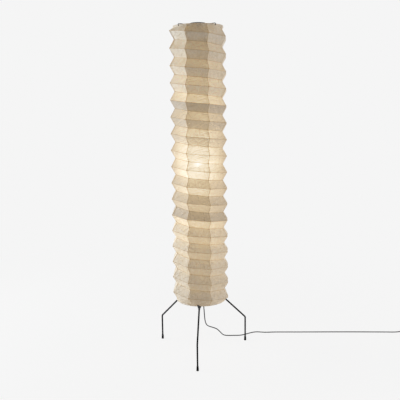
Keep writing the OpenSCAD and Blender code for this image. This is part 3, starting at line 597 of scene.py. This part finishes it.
def panel_rows(middle):
    """The rows of a panel: the two stations that a row lies between, and how far it is from the first."""
    folds = kept_folds(middle - HALF_PANEL, middle + HALF_PANEL)
    top, bottom = hem("top"), hem("bottom")[::-1]
    stations = [("hem", s) for s in top] + [("fold", f) for f in folds] + [("hem", s) for s in bottom]
    rows = []
    for one, two in zip(stations, stations[1:]):
        count = 1 if one[0] == two[0] == "hem" else DOWN
        if one == ("hem", top[-2]) or two == ("hem", bottom[1]):
            count = BAND_ROWS
        rows += [(one, two, k / count) for k in range(count)]
    return rows + [(stations[-1], stations[-1], 0)]


def station_at(station, azimuth, middle):
    return station[1] if station[0] == "hem" else fold_station(station[1], azimuth, middle)


def facet_of(one, two):
    """The number of the facet between two stations, or None between two lines of a hem."""
    if one[0] == "fold":
        return one[1]
    return two[1] - 1 if two[0] == "fold" else None


def distance_to_fold(one, two, share):
    """How far a row lies from the nearest fold, along its facet."""
    if one[0] == two[0] == "hem":
        return FAR
    if one[0] == "hem":
        return (1 - share) * FACET_L
    if two[0] == "hem":
        return share * FACET_L
    return min(share, 1 - share) * FACET_L


print("rows on the front panel:", len(panel_rows(0)))

# %% [markdown]
# Real handmade paper never lies flat: it waves, it wrinkles, and each facet bulges a little in or out and has
# a dent pressed into one corner. All of that fades towards the folds, which the bamboo keeps straight, and
# towards the seams, which are stiff with paste. The lower facets bulge more than the upper ones.

# %% Crumples
FOLD_STILL, SEAM_STILL, SEAM_DENT = 9 * MM, 8 * MM, 3 * MM
BULGE_FROM, BULGE_OVER = 20, 6
DENT_CHANCE, DENT_SLOPE = 0.7, 0.07


def crumple(point, to_fold, to_seam, fold, share, panel):
    """How far the paper stands out at a point, in metres, from its crumples and creases."""
    still = ease(to_fold / FOLD_STILL) * ease(to_seam / SEAM_STILL)
    waves = 1.5 * noise.noise(point * 26) + 1.1 * noise.noise(point * 58 + Vector((7, 1, 3)))
    fine = 0.5 * noise.noise(point * 130)
    chance = random.Random(fold * 31 + panel * 977)
    pillow = mix(chance.uniform(-1.6, 0.7), chance.uniform(0.8, 3.2), ease((fold - BULGE_FROM) / BULGE_OVER))
    bow = pillow * 4 * share * (1 - share)
    # A small facet near a corner, pressed in along a slanting crease
    reach = chance.uniform(16, 46) * MM * (share if fold % 2 == 0 else 1 - share)
    dent = -DENT_SLOPE * max(0, reach - to_seam) / MM if chance.random() < DENT_CHANCE else 0
    edge_wave = 0.5 * noise.noise(point * 45 + Vector((0, 0, 5)))
    return MM * (still * (waves + fine + bow) + ease(to_fold / FOLD_STILL) * ease(to_seam / SEAM_DENT) * dent
                 + ease(to_seam / SEAM_STILL) * edge_wave)


print("front facet bulges", round(crumple(Vector((0, -0.15, 1)), 0.02, 0.05, 12, 0.5, 0) / MM, 2), "mm")

# %% [markdown]
# A panel knows how far each of its points is from the next fold and from the nearest seam. That goes into a
# UV map of its own, in metres, and the paper's material draws its creases and glued seams with it. A second
# map says which facets have a second sheet of paper behind them, and where the pasted edge lies.

# %% One paper panel
LINING_LIMIT = 0.5 * MM
LAP_LIFT, LAP_RISE = 0.5 * MM, 7 * MM
LINED_EDGE, LINED_INSIDE = 1.0, 0.85


def panel_point(azimuth, beyond, row, panel):
    """Place of a corner of the grid, and its distances to the next fold and to the nearest seam."""
    one, two, share = row
    middle = PANEL_ANGLE * panel
    flat_middle = middle + PANEL_ANGLE if beyond else middle
    (r1, z1), (r2, z2) = (station_at(s, azimuth, flat_middle) for s in (one, two))
    r, z = mix(r1, r2, share), mix(z1, z2, share)
    to_fold = distance_to_fold(one, two, share)
    off_corner = min(abs(azimuth - middle - HALF_PANEL), abs(azimuth - middle + HALF_PANEL))
    to_seam = math.radians(off_corner) * r
    fold = facet_of(one, two)
    if fold is not None and not beyond:
        # The lining sets a limit to how far in the paper can lie
        deepest = -LINING_LIMIT if LINED[0] - 1 <= fold <= LINED[1] else -1
        r += max(deepest, crumple(polar(r, azimuth, z), to_fold, to_seam, fold, share, panel))
    # The last few millimetres lie on top of the next panel
    if beyond:
        r += LAP_LIFT
    elif azimuth > middle:
        r += LAP_LIFT * ease(1 - to_seam / LAP_RISE)
    return polar(r, azimuth + SHADE_TURN, z), to_fold, to_seam


def lining_share(row):
    """How much the second sheet of paper darkens the facet that starts with a row."""
    one, two, _ = row
    if two[0] == "hem" or not LINED[0] <= facet_of(one, two) < LINED[1]:
        return 0.0
    return LINED_EDGE if facet_of(one, two) in (LINED[0], LINED[1] - 1) else LINED_INSIDE


def paper_panel(panel):
    """One strip of the shade as a single sheet, with its two UV maps and its sharp folds."""
    columns, rows = panel_columns(PANEL_ANGLE * panel), panel_rows(PANEL_ANGLE * panel)
    sheet = bmesh.new()
    bmesh.ops.create_grid(sheet, x_segments=len(columns) - 1, y_segments=len(rows) - 1, size=1)
    creases, layers = sheet.loops.layers.uv.new("creases"), sheet.loops.layers.uv.new("layers")
    known = {}
    for corner in sheet.verts:
        i = round((corner.co.x + 1) / 2 * (len(columns) - 1))
        j = round((1 - corner.co.y) / 2 * (len(rows) - 1))
        corner.co, to_fold, to_seam = panel_point(columns[i], i > ACROSS, rows[j], panel)
        known[corner] = (i, j, to_fold, to_seam)
    for face in sheet.faces:
        lined = lining_share(rows[min(known[v][1] for v in face.verts)])
        pasted = float(min(known[v][0] for v in face.verts) >= ACROSS)
        for loop in face.loops:
            loop[creases].uv = known[loop.vert][2:]
            loop[layers].uv = (lined, pasted)
    for edge in sheet.edges:
        (i1, j1, *_), (i2, j2, *_) = (known[v] for v in edge.verts)
        on_fold = j1 == j2 and rows[j1][2] == 0 and rows[j1][0][0] == "fold"
        edge.smooth = not (on_fold or i1 == i2 == ACROSS)
    return sheet


print("a panel has", len(panel_columns(0)), "columns")

# %% [markdown]
# The crown's four arms end in hooks that go round the top hoop, each through a small window in the paper of
# the band. A window is cut with four planes, on every second panel, and the faces between them are taken out.

# %% Windows for the hooks
WINDOW_HALF = 2.25
WINDOW_LOW, WINDOW_HIGH = HOOPS["top"][1] - 8.7 * MM, HOOPS["top"][1] - 3.2 * MM


def cut_window(sheet, middle):
    """Cuts the small window in the top band through which a hook goes round the hoop."""
    out, side, up = polar(1, middle + SHADE_TURN, 0), polar(1, middle + SHADE_TURN + 90, 0), Vector((0, 0, 1))
    walls = [(side * WINDOW_HALF * MM, side), (side * -WINDOW_HALF * MM, side),
             (Vector((0, 0, WINDOW_LOW)), up), (Vector((0, 0, WINDOW_HIGH)), up)]
    for spot, direction in walls:
        band = [f for f in sheet.faces if f.calc_center_median().z > HIGH_BAND - 2 * MM]
        parts = set(band) | {e for f in band for e in f.edges} | {v for f in band for v in f.verts}
        bmesh.ops.bisect_plane(sheet, geom=list(parts), plane_co=spot, plane_no=direction)
    gone = []
    for face in sheet.faces:
        centre = face.calc_center_median()
        outside = centre.dot(out) > band_r("top") - 2 * MM
        if outside and abs(centre.dot(side)) < WINDOW_HALF * MM and WINDOW_LOW < centre.z < WINDOW_HIGH:
            gone.append(face)
    bmesh.ops.delete(sheet, geom=gone, context="FACES")


print("windows", 2 * WINDOW_HALF, "mm wide")

# %% [markdown]
# Now the eight strips are made. Solidify lets each sheet grow inwards, so its outside stays where the CAD
# model has it.

# %% Eight paper panels
panels = []
for number in range(1, PANELS + 1):
    panel = number - FRONT_PANEL
    sheet = paper_panel(panel)
    if number % 2 == 0:
        cut_window(sheet, PANEL_ANGLE * panel)
    piece = piece_from(sheet, f"paper_{number}", "shade")
    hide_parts(f"paper_panel_{number}")
    thick = piece.modifiers.new("thickness", "SOLIDIFY")
    thick.thickness, thick.offset = PAPER_THICK, -1
    panels.append(piece)
print("eight panels of", len(panels[0].data.polygons), "faces each")

# %% [markdown]
# ## Finish of the paper
# The first part of the look is the pulp: clouds of it, long fibres, fine hairs, and creases that run
# slantwise up the sheets. All patterns read the object's own coordinates, slightly bent by a noise so that no
# row or cell looks drawn, and their heights together make one bump.

# %% Pulp and creases of the paper
SLANT, STRETCH = (0.0, -0.5, 0.0), (1.0, 1.0, 0.2)


def pulp(w):
    """The patterns of the paper, each a Wire from 0 to 1, and the bumped normal that they make together."""
    spot = w.add("ShaderNodeTexCoord", out="Object")
    bent = spot.vector("ADD", spot.clouds(9.0, 2.0, out=1).scaled(0.05))
    slant = w.add("ShaderNodeMapping", {"Vector": bent, "Rotation": SLANT, "Scale": STRETCH},
                  vector_type="TEXTURE")
    fibre, hair, crease = bent.web(42.0, 0.01, 0.09), bent.web(110.0, 0.0, 0.06), bent.web(17.0, 0.0, 0.07)
    grain = spot.clouds(180.0, 3.0)
    wrinkle = bent.clouds(38.0, 5.0, Roughness=0.6)
    ridged = abs(bent.clouds(26.0, 2.0) - 0.5)
    streak = 1 - abs(slant.clouds(9.0, 1.5) - 0.5).step(0.0, 0.04)
    height = (wrinkle * 0.0028 - ridged * 0.0060 + streak * 0.0017 + crease * 0.0008 + fibre * 0.00016
              + grain * 0.00016)
    return SimpleNamespace(
        spot=spot, clouds=spot.clouds(14.0, 4.0), mottle=bent.clouds(62.0, 3.0) - 0.5, fibre=fibre, hair=hair,
        grain=grain, crease=crease, streak=streak,
        normal=w.add("ShaderNodeBump", {"Height": height, "Strength": 1.0, "Distance": 1.0}))


print("pulp ready")

# %% [markdown]
# The second part are the lines: thin dark folds, partly the bamboo behind the paper and partly its painted
# shadow, and seams where paste and a second edge of paper make the sheet denser and are painted darker, with
# a darker painted dot where a fold meets a seam. The UV maps give the distance to each, and a little noise
# makes the lines waver as real ones.

# %% Folds and seams of the paper


def from_map(w, name):
    """The two values that a UV map of the panel holds."""
    return w.add("ShaderNodeSeparateXYZ", {0: w.add("ShaderNodeUVMap", uv_map=name)}, out=(0, 1))


def sheet_lines(w, paper):
    """How strongly folds and seams show, how much of a second layer lies behind, and the seam's distance."""
    to_fold, to_seam = from_map(w, "creases")
    lined, overlap = from_map(w, "layers")
    wobble = (paper.clouds - 0.5) * 0.003 + (paper.grain - 0.5) * 0.001
    fold_line = 1 - (to_fold + wobble).step(0.0006, 0.0030)
    seam_line = 1 - (to_seam + wobble).step(0.0005, 0.0028)
    corner = 1 - (to_fold ** 2 + to_seam ** 2).maths("SQRT").step(0.002, 0.008)
    line = (fold_line * 0.56 + seam_line * 0.50 + overlap * 0.14 + corner * 0.22).maths("MINIMUM", 0.9)
    return SimpleNamespace(line=line, lined=lined, to_seam=to_seam)


print("folds and seams ready")

# %% [markdown]
# The third part is the light that comes through, painted into the paper's emission colour. Paper scatters it,
# so a facet glows by how near the bulb is, and more where it faces the bulb. Both fade with height above and
# below the bulb, at their own rates, and right in front of the bulb is one small painted bright spot. The
# painted glow is worked out from the place and the slope of the paper, and the shade keeps it in every pose.

# %% Light through the paper
BULB = Vector((-0.0073, -0.0414, 1.162))
SPREAD, SPREAD_ABOVE, SPREAD_BELOW = 0.74, -2.7, 1.72
DIRECT, DIRECT_ABOVE, DIRECT_BELOW = 0.94, -1.9, 3.7
HOT, HOT_ASIDE, HOT_SHAPE = 0.85, 0.0108, (0.72, 0.2, 1.2)
HOT_FROM, HOT_WIDTH = 0.0005, 0.00024
LINING_DIMS, LINE_DIMS, LINING_GLOW = 0.35, 0.7, 0.9
CRUMPLE_LIGHT_WAY, LEAN_GAIN = (0.4, -0.2, 0.9), 1.1
SHADE_HALF_WIDTH, SIDE_GLOW_DIMMING = 0.16, 0.7


def light_spread(paper, smooth_normal, hot_spot):
    """Light from the bulb at each place, before the paper's own patterns."""
    spot, normal = paper.spot, paper.normal
    rise = spot.add("ShaderNodeSeparateXYZ", {0: spot}, out="Z") - BULB.z
    above, below = rise.maths("MAXIMUM", 0.0), (rise * -1.0).maths("MAXIMUM", 0.0)
    way = spot.add("ShaderNodeVectorMath", {0: tuple(BULB), 1: spot}, operation="SUBTRACT")
    way = way.vector("NORMALIZE")
    side = normal.dot(spot.vector("MULTIPLY", (1, 1, 0))).maths("SIGN")
    facing = normal.vector("ADD", smooth_normal).dot(way) * side * -0.5
    facing = facing.maths("MAXIMUM", 0.0) * 0.88 + 0.08
    spread = (above * SPREAD_ABOVE - below * SPREAD_BELOW).maths("EXPONENT") * SPREAD
    direct = (above * DIRECT_ABOVE - below * DIRECT_BELOW).maths("EXPONENT") * DIRECT * facing
    if not hot_spot:
        return spread + direct
    # A small painted bright spot right in front of the bulb
    away = spot.vector("SUBTRACT", (BULB.x + HOT_ASIDE, BULB.y, BULB.z)).vector("MULTIPLY", HOT_SHAPE)
    return spread + direct + ((HOT_FROM - away.dot(away)) / HOT_WIDTH).maths("EXPONENT") * HOT


def light_through(paper, lines):
    """The light that leaves the paper, with its pulp, its folds and its lining in the way."""
    smooth_normal = paper.spot.add("ShaderNodeNewGeometry", out="Normal")
    light = light_spread(paper, smooth_normal, hot_spot=bool(lines))
    # Painted shade in the glow where a second sheet lies behind
    through = (1 - lines.lined * LINING_DIMS) * light if lines else light * LINING_GLOW
    through = through * (0.95 + (paper.clouds - 0.5) * 0.3 + paper.mottle * 0.2 - paper.fibre * 0.05
                         - paper.hair * 0.03 + paper.streak * 0.07 - paper.crease * 0.04
                         + (paper.grain - 0.5) * 0.12)
    # Painted light and shade on the crumples: one that leans up, a little right and to the front glows more,
    # one that leans away less
    lean = paper.normal.vector("SUBTRACT", smooth_normal).dot(CRUMPLE_LIGHT_WAY)
    through = through * (1.02 + lean * LEAN_GAIN)
    if lines:
        # Painted shadow of the bamboo and of the doubled paper along folds and seams
        through = through * (1 - lines.line * LINE_DIMS)
    # The painted glow is made weaker towards the shade's sides, where the room's lamps light the paper as
    # well
    across = paper.spot.add("ShaderNodeSeparateXYZ", {0: paper.spot}, out="X") * (1 / SHADE_HALF_WIDTH)
    return through * (1 - across ** 2 * through * SIDE_GLOW_DIMMING)


print("bulb at", [round(x, 4) for x in BULB])

# %% [markdown]
# A ramp turns the painted light into the colours of lit paper, from deep amber through honey to a warm white.
# The paper's own colour is a warm white with darker threads. Painted shade makes it greyer where it is lined,
# and brown along folds and seams, which are partly the bamboo and paste themselves and partly their painted
# shadow. Dried paste leaves some smoother spots by the seams as well.

# %% Paper finish
GLOW_TOP = 1.75
GLOW_STOPS = [
    (0.0, (0, 0, 0)), (0.086, (0.160, 0.096, 0.032)), (0.257, (0.455, 0.32, 0.158)),
    (0.354, (0.62, 0.48, 0.28)), (0.457, (0.78, 0.655, 0.465)), (0.617, (0.88, 0.775, 0.60)),
    (0.76, (0.92, 0.83, 0.67)), (0.84, (0.94, 0.87, 0.74)), (1.0, (1.0, 0.99, 0.96))]
PAPER_TONE, PULP_TINT, THREAD_TINT = (0.88, 0.865, 0.83), (0.95, 0.93, 0.88), (0.83, 0.75, 0.60)
LINED_SHADE_TONE, LINE_TONE, LINE_GLOW = (0.51, 0.52, 0.53), (0.38, 0.27, 0.14), (0.36, 0.25, 0.12)


def tinted(tone, tint):
    return colour(*[t * part for t, part in zip(tone, tint)])


def paper_colour(paper, through, lines):
    """The paper's colour under the room's light, with painted shade on it. It is painted darker where the
    glow is strong, so lit paper shows less of it.
    """
    own = paper.clouds.step(0.3, 0.75).blend(colour(*PAPER_TONE), tinted(PAPER_TONE, PULP_TINT))
    threads = paper.fibre * 0.3 + paper.hair * 0.16 + paper.crease * 0.06
    own = threads.blend(own, tinted(PAPER_TONE, THREAD_TINT)).scaled(1 + paper.mottle * 0.2)
    if lines:
        # Painted shade: greyer where a second sheet lies behind and holds back light
        own = (lines.lined * 0.75).blend(own, colour(*LINED_SHADE_TONE))
        # Brown along folds and seams: partly the bamboo and paste, partly their painted shadow
        own = lines.line.blend(own, colour(*LINE_TONE))
    # Painted shade: darker where the painted glow is strong
    return own.scaled(1 - through * 0.4)


def paper_material(name, layered):
    """Paper that is lit from inside. A layered one reads its creases and its second layer from UV maps."""
    material, w = new_material(name)
    paper = pulp(w)
    lines = sheet_lines(w, paper) if layered else None
    through = light_through(paper, lines)
    glow = w.add("ShaderNodeValToRGB", {0: through / GLOW_TOP}, stops=GLOW_STOPS)
    rough = 0.82 - paper.crease * 0.08
    if lines:
        # Painted shadow of the bamboo and of the doubled paper along folds and seams, in the glow
        glow = (lines.line * 0.6).blend(glow, colour(*LINE_GLOW))
        # Spots of dried paste by the seams
        paste = paper.spot.clouds(70.0, 1.0).step(0.60, 0.68)
        rough = rough - paste * (1 - lines.to_seam.step(0.004, 0.014)) * 0.4
    surface = w.add("ShaderNodeBsdfPrincipled", {
        "Base Color": paper_colour(paper, through, lines), "Roughness": rough, "Emission Color": glow,
        "Emission Strength": 1.0, "Specular IOR Level": 0.3, "Normal": paper.normal})
    w.add("ShaderNodeOutputMaterial", {"Surface": surface}, out=())
    material.cycles.emission_sampling = "NONE"
    return material


shade_paper = paper_material("paper", layered=True)
for piece in panels:
    piece.data.materials.append(shade_paper)
print("paper nodes:", len(shade_paper.node_tree.nodes))

# %% [markdown]
# ## Finishes of the CAD parts
# Wire, tube and castings are painted black, the bulb's cap and the pins are plated, and the feet are rubber.
# One function makes them all, because each differs only in its colour, its gloss and how worn it is. Object
# coordinates keep the pattern at its true scale on every part.

# %% Plain finishes
GRAIN_SCALE = 720.0


def plain_finish(name, tone, rough, metallic=0.0, bump=0.0002, cloud=0.15, worn=None, gloss=0.5):
    """A plain finish: cloudy colour, uneven gloss, a fine surface, and wear in small patches."""
    material, w = new_material(name)
    spot = w.add("ShaderNodeTexCoord", out="Object")
    clouds, grain = spot.clouds(22.0, 5.0), spot.clouds(GRAIN_SCALE, 3.0)
    scuff = spot.clouds(160.0, 6.0, Roughness=0.7)
    own = clouds.step(0.3, 0.7).blend(tinted(tone, [1 - cloud] * 3), tinted(tone, [1 + cloud] * 3))
    roughness = rough + (clouds - 0.5) * 0.2 + (grain - 0.5) * 0.12
    if worn:
        patch = scuff.step(0.62, 0.72)
        own = (patch * 0.5).blend(own, colour(*worn))
        roughness = roughness - patch * 0.1
    height = grain * bump + scuff * bump * 0.6
    normal = w.add("ShaderNodeBump", {"Height": height, "Strength": 0.6, "Distance": 1.0})
    surface = w.add("ShaderNodeBsdfPrincipled", {
        "Base Color": own, "Roughness": roughness, "Metallic": metallic, "Specular IOR Level": gloss,
        "Normal": normal})
    w.add("ShaderNodeOutputMaterial", {"Surface": surface}, out=())
    return material


FINISH_FACTS = {
    "black_wire": dict(tone=(0.004, 0.004, 0.004), rough=0.5, gloss=0.12, worn=(0.010, 0.010, 0.010)),
    "black_metal": dict(tone=(0.002, 0.002, 0.002), rough=0.6, gloss=0.04, worn=(0.004, 0.004, 0.004)),
    "cap_metal": dict(tone=(0.045, 0.046, 0.05), rough=0.5, metallic=0.5, worn=(0.12, 0.12, 0.12)),
    "grey_metal": dict(tone=(0.07, 0.072, 0.076), rough=0.45, metallic=0.7, worn=(0.2, 0.2, 0.2)),
    "steel": dict(tone=(0.45, 0.45, 0.46), rough=0.3, metallic=1.0, bump=0.00008),
    "brass": dict(tone=(0.62, 0.46, 0.20), rough=0.28, metallic=1.0, bump=0.00006),
    "foot_rubber": dict(tone=(0.004, 0.004, 0.004), rough=0.75, bump=0.0004, gloss=0.08),
    "holder_black": dict(tone=(0.02, 0.02, 0.02), rough=0.35),
    "cap_nickel": dict(tone=(0.52, 0.51, 0.48), rough=0.27, metallic=1.0, bump=0.00006),
    "cord_grey": dict(tone=(0.006, 0.006, 0.006), rough=0.55, gloss=0.12),
    "switch_black": dict(tone=(0.025, 0.025, 0.026), rough=0.4, bump=0.0003),
    "bamboo": dict(tone=(0.50, 0.36, 0.18), rough=0.6, bump=0.0003, cloud=0.3),
}
FINISHES = {name: plain_finish(name, **facts) for name, facts in FINISH_FACTS.items()}
print(len(FINISHES), "plain finishes")

# %% [markdown]
# Every CAD node takes its finish by name. The lining is a second sheet of the same paper, seen only through
# the first, so it has the pulp and the painted glow but no lines of its own.

# %% Which part has which finish
FINISHED = {
    "black_wire": ["hoop_top", "hoop_bottom", "crown_arm_1", "crown_arm_2", "crown_arm_3", "crown_arm_4"],
    "black_metal": ["crown_boss", "mast_lower", "mast_upper", "hub", "leg_front", "leg_right", "leg_left",
                    "holder_arm"],
    "cap_metal": ["crown_cap"],
    "grey_metal": ["rim_clip_front", "rim_clip_right", "rim_clip_left"],
    "steel": ["mast_joiner", "hub_screws", "mast_screw", "arm_screw", "switch_screws"],
    "brass": ["holder_nipple"],
    "foot_rubber": ["foot_front", "foot_right", "foot_left", "cord_grip"],
    "holder_black": ["holder_cup", "holder_skirt", "lead_ties"],
    "cap_nickel": ["bulb_cap", "plug_pins"],
    "cord_grey": ["inner_lead"],
    "switch_black": ["switch_base", "switch_cover", "switch_rocker", "plug_body"],
    "bamboo": ["ridge_rib", "valley_rib"],
}


def coat(node, material):
    """Gives a CAD node a finish."""
    for slot in nodes[node].material_slots:
        slot.material = material


for finish_name, node_names in FINISHED.items():
    for node in node_names:
        coat(node, FINISHES[finish_name])
for piece in (lead_to_switch, lead_to_plug):
    piece.data.materials.append(FINISHES["cord_grey"])
coil_tie.data.materials.append(FINISHES["switch_black"])
coat("middle_lining", paper_material("lining", layered=False))
print(sum(len(node_names) for node_names in FINISHED.values()), "CAD nodes with a plain finish")

# %% [markdown]
# The bulb is opal glass that is lit from within, so it is an even, warm glow with a soft gloss on it.

# %% Bulb finish
bulb_material, w = new_material("bulb_glass")
haze = w.add("ShaderNodeTexCoord", out="Object").clouds(30.0, 2.0)
opal = w.add("ShaderNodeBsdfPrincipled", {
    "Base Color": haze.blend(colour(0.86, 0.85, 0.82), colour(0.92, 0.91, 0.88)),
    "Roughness": 0.2 + haze * 0.08,
    "Emission Color": haze.blend(colour(1.0, 0.80, 0.52), colour(1.0, 0.87, 0.64)), "Emission Strength": 4.0})
w.add("ShaderNodeOutputMaterial", {"Surface": opal}, out=())
coat("bulb_glass", bulb_material)
print("bulb lit")

# %% [markdown]
# The Standard view shows a colour as it is written.

# %% View settings and the end
bpy.context.scene.view_settings.view_transform = "Standard"
